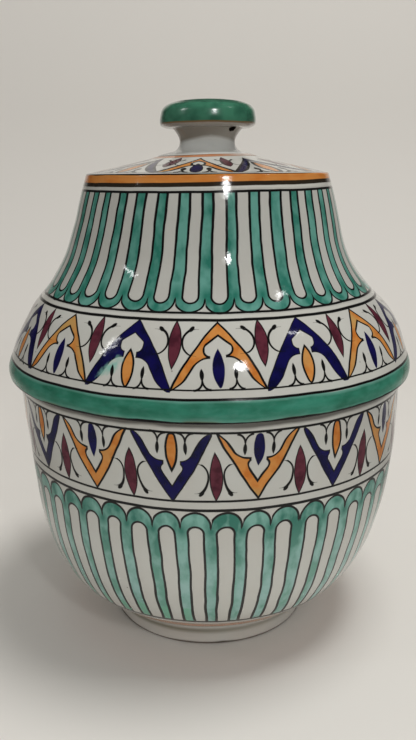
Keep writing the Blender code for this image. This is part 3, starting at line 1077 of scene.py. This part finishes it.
def make_knob(finishes):
    """Hollow knob: head, waisted stem, and the fillet of glaze round its foot."""
    top = KNOB_BASE + KNOB_HEIGHT
    head_level = top - KNOB_HEAD_HEIGHT
    neck_level = KNOB_BASE + KNOB_NECK_HEIGHT
    head = smooth_line(between(HEAD_SHARES, (0, KNOB_HEAD_RADIUS), (head_level, top)), SPAN_STEPS)
    flare_radius = head[-1].x
    upper_flare = smooth_line(between(FLARE_SHARES, (KNOB_NECK_RADIUS, flare_radius),
                                      (neck_level, head_level)), 4)
    # The fillet runs out over the first, straight stretch of the lid's cone
    cone_step = CONE_SHARES[1]
    cone_reach = (SHOULDER_RADIUS - SHOULDER_ROUND - KNOB_SEAT_RADIUS) * cone_step[0]
    cone_fall = CONE_RISE * (1 - cone_step[1]) / cone_reach
    cone_level = KNOB_SEAT_LEVEL - (FILLET_RADIUS - KNOB_SEAT_RADIUS) * cone_fall
    lower_flare = smooth_line(between(STEM_SHARES, (KNOB_NECK_RADIUS, FILLET_RADIUS),
                                      (cone_level + FILLET_HEIGHT * 2, neck_level)), 5)
    neck_bore = KNOB_NECK_RADIUS - KNOB_WALL
    base_bore = KNOB_BASE_RADIUS - KNOB_BASE_LAND
    entry = quarter((base_bore, neck_level), (base_bore - neck_bore, neck_level - KNOB_BASE),
                    270, turn=-90)
    head_bore = between(CAVITY_SHARES, (0, KNOB_HEAD_RADIUS - KNOB_HEAD_WALL),
                        (head_level, top - KNOB_CROWN))
    cavity = smooth_line([entry[-1], *head_bore], SPAN_STEPS)
    outside = filled(head[:-1] + upper_flare[:-1] + lower_flare, KNOB_FACET)
    land = [outside[-1], Vector((FILLET_RADIUS, cone_level + FILLET_HEIGHT)),
            Vector((KNOB_SEAT_RADIUS, KNOB_SEAT_LEVEL + FILLET_HEIGHT)),
            Vector((KNOB_BASE_RADIUS, KNOB_BASE)), entry[0]]
    piece = turned("knob_shell", (
        (outside, ((head_level - 0.0002, "knob_head"), (0, "knob_stem")), (0.995, 0.35)),
        (filled(land, KNOB_BORE_FACET), "clay", (0.345, 0.30)),
        (filled(entry[:-1] + cavity, KNOB_BORE_FACET), "clay", (0.295, 0.005)),
    ), KNOB_SEGMENTS, finishes, ("knob_head", "knob_stem", "clay", "vent"))
    drill_vent(piece, finishes["vent"], neck_level, head_level, flare_radius)
    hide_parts("lid_knob")
    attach(piece, "lid")


# Stage, in metres
FLOOR_FRONT = -0.6
FLOOR_BACK = 0.55            # where the floor begins to curve up
FLOOR_BEND = 0.35
BACKDROP_TOP = 1.5
STAGE_HALF_WIDTH = 1.6


def stage_paper():
    """Pale paper, which glossy glaze mirrors as a darker room with a bright window behind."""
    material, tree, shader = new_material("backdrop_paper")
    feed(shader.inputs["Roughness"], 0.8)
    feed(shader.inputs["Specular IOR Level"], 0.2)
    place = tree.nodes.new("ShaderNodeSeparateXYZ")
    feed(place.inputs[0], tree.nodes.new("ShaderNodeTexCoord").outputs["Object"])
    x, y, z = (Term(output) for output in place.outputs)
    away = ramp(reach(x, y), 0.16, 0.28)
    aside = abs(x)
    window = ramp(y, 0.12, 0.3) * ramp(aside, 0.45, 0.8, 1, 0)
    left = ramp(x, -0.13, -0.09, 0.26, 0)
    right = ramp(x, 0.1, 0.14, 0, 0.14)
    window = window * ramp(z - aside * 0.25 - left - right, 0.44, 0.53, 1, 0)
    dark = away * (window * -1 + 1)
    mirrored = Term(tree.nodes.new("ShaderNodeLightPath").outputs["Is Glossy Ray"])
    room = mix(tree, ramp(z, 0.18, 0.42), PAPER_AWAY, PAPER_HIGH)
    feed(shader.inputs["Base Color"], mix(tree, mirrored * dark, PAPER, room))
    return material


def make_stage():
    """A pale floor that curves up into a backdrop."""
    sweep = [Vector((FLOOR_FRONT, 0)), Vector((FLOOR_BACK, 0))]
    sweep += quarter((FLOOR_BACK, FLOOR_BEND), (FLOOR_BEND, FLOOR_BEND), 270, 12)[1:]
    sweep.append(Vector((FLOOR_BACK + FLOOR_BEND, BACKDROP_TOP)))
    vertices = [(side, point.x, point.y)
                for side in (-STAGE_HALF_WIDTH, STAGE_HALF_WIDTH) for point in sweep]
    count = len(sweep)
    faces = [(index, count + index, count + index + 1, index + 1) for index in range(count - 1)]
    mesh = bpy.data.meshes.new("backdrop")
    mesh.from_pydata(vertices, [], faces)
    for face in mesh.polygons:
        face.use_smooth = True
    mesh.materials.append(stage_paper())
    add_object("backdrop", mesh)


AIM_LEVEL = 0.18             # height on the jar that the lamps point at


def make_lamp(name, azimuth, elevation, distance, size, power, mirrored, color=(1, 1, 1),
              roll=0):
    """Oval lamp aimed at the jar; only a mirrored one shows in the glaze.

    Azimuth 0 is in front of the jar and 90 on its right.
    """
    data = bpy.data.lights.new(name, "AREA")
    data.shape = "ELLIPSE"
    data.size, data.size_y = size
    data.energy = power
    data.color = color
    lamp = add_object(name, data)
    turn, rise = radians(azimuth), radians(elevation)
    way = Vector((sin(turn) * cos(rise), -cos(turn) * cos(rise), sin(rise)))
    lamp.location = way * distance + Vector((0, 0, AIM_LEVEL))
    spin = Matrix.Rotation(radians(roll), 3, "Z")
    lamp.rotation_euler = (way.to_track_quat("Z", "Y").to_matrix() @ spin).to_euler()
    lamp.visible_camera = False
    lamp.visible_glossy = mirrored


def make_lights():
    """Soft light from above and in front, three small lamps for highlights, and the room."""
    make_lamp("ceiling", 70, 76, 1.5, (0.6, 0.6), 13.3, False, (1, 0.985, 0.96))
    make_lamp("front", 17, 30, 1.5, (0.4, 0.4), 0.9, False)
    make_lamp("low", 5, -17.5, 0.52, (0.16, 0.03), 0.33, False)
    make_lamp("spot_front", 17.5, 33, 1.5, (0.12, 0.15), 1.9, True)
    make_lamp("spot_left", -67, 36, 1.6, (0.06, 0.34), 0.8, True, roll=-30)
    make_lamp("spot_right", 70, 50, 1.6, (0.05, 0.12), 0.35, True, roll=20)
    world = bpy.data.worlds.new("room")
    world.use_nodes = True
    tree = world.node_tree
    sky = tree.nodes["Background"]
    path = tree.nodes.new("ShaderNodeLightPath")
    feed(sky.inputs["Strength"], ramp(Term(path.outputs["Is Glossy Ray"]), 0, 1, 0.36, 0.04))
    feed(sky.inputs["Color"], (1, 0.985, 0.96))
    bpy.context.scene.world = world


# Camera, fitted to the painted rings in the photo
CAMERA_PLACE = (-0.00035, -0.4309, 0.2550)
CAMERA_LENS = 37.33          # millimetres, on a sensor 36 mm wide
CAMERA_DOWN = radians(14.65)
CAMERA_ROLL = radians(-0.39)


def make_camera():
    """Camera in front of the jar, looking a little down on it."""
    data = bpy.data.cameras.new("camera")
    data.lens = CAMERA_LENS
    data.sensor_width = 36
    camera = add_object("camera", data)
    tilt = Matrix.Rotation(radians(90) - CAMERA_DOWN, 4, "X")
    roll = Matrix.Rotation(CAMERA_ROLL, 4, "Z")
    camera.matrix_world = Matrix.Translation(CAMERA_PLACE) @ tilt @ roll
    bpy.context.scene.camera = camera


finishes = {
    "cone": cone_finish(),
    "shoulder": shoulder_finish(),
    "stripes": stripe_finish(),
    "chevrons": chevron_finish(),
    "bead": bead_finish(),
    "bowl_chevrons": bowl_chevron_finish(),
    "bowl_stripes": bowl_stripe_finish(),
    "foot": foot_finish(),
    "plain": plain_finish(),
    "clay": clay_finish(),
    "vent": vent_finish(),
    "knob_head": knob_head_finish(),
    "knob_stem": knob_stem_finish(),
}
make_bowl(finishes)
make_lid(finishes)
make_knob(finishes)
make_stage()
make_lights()
make_camera()
bpy.context.scene.view_settings.view_transform = "Standard"
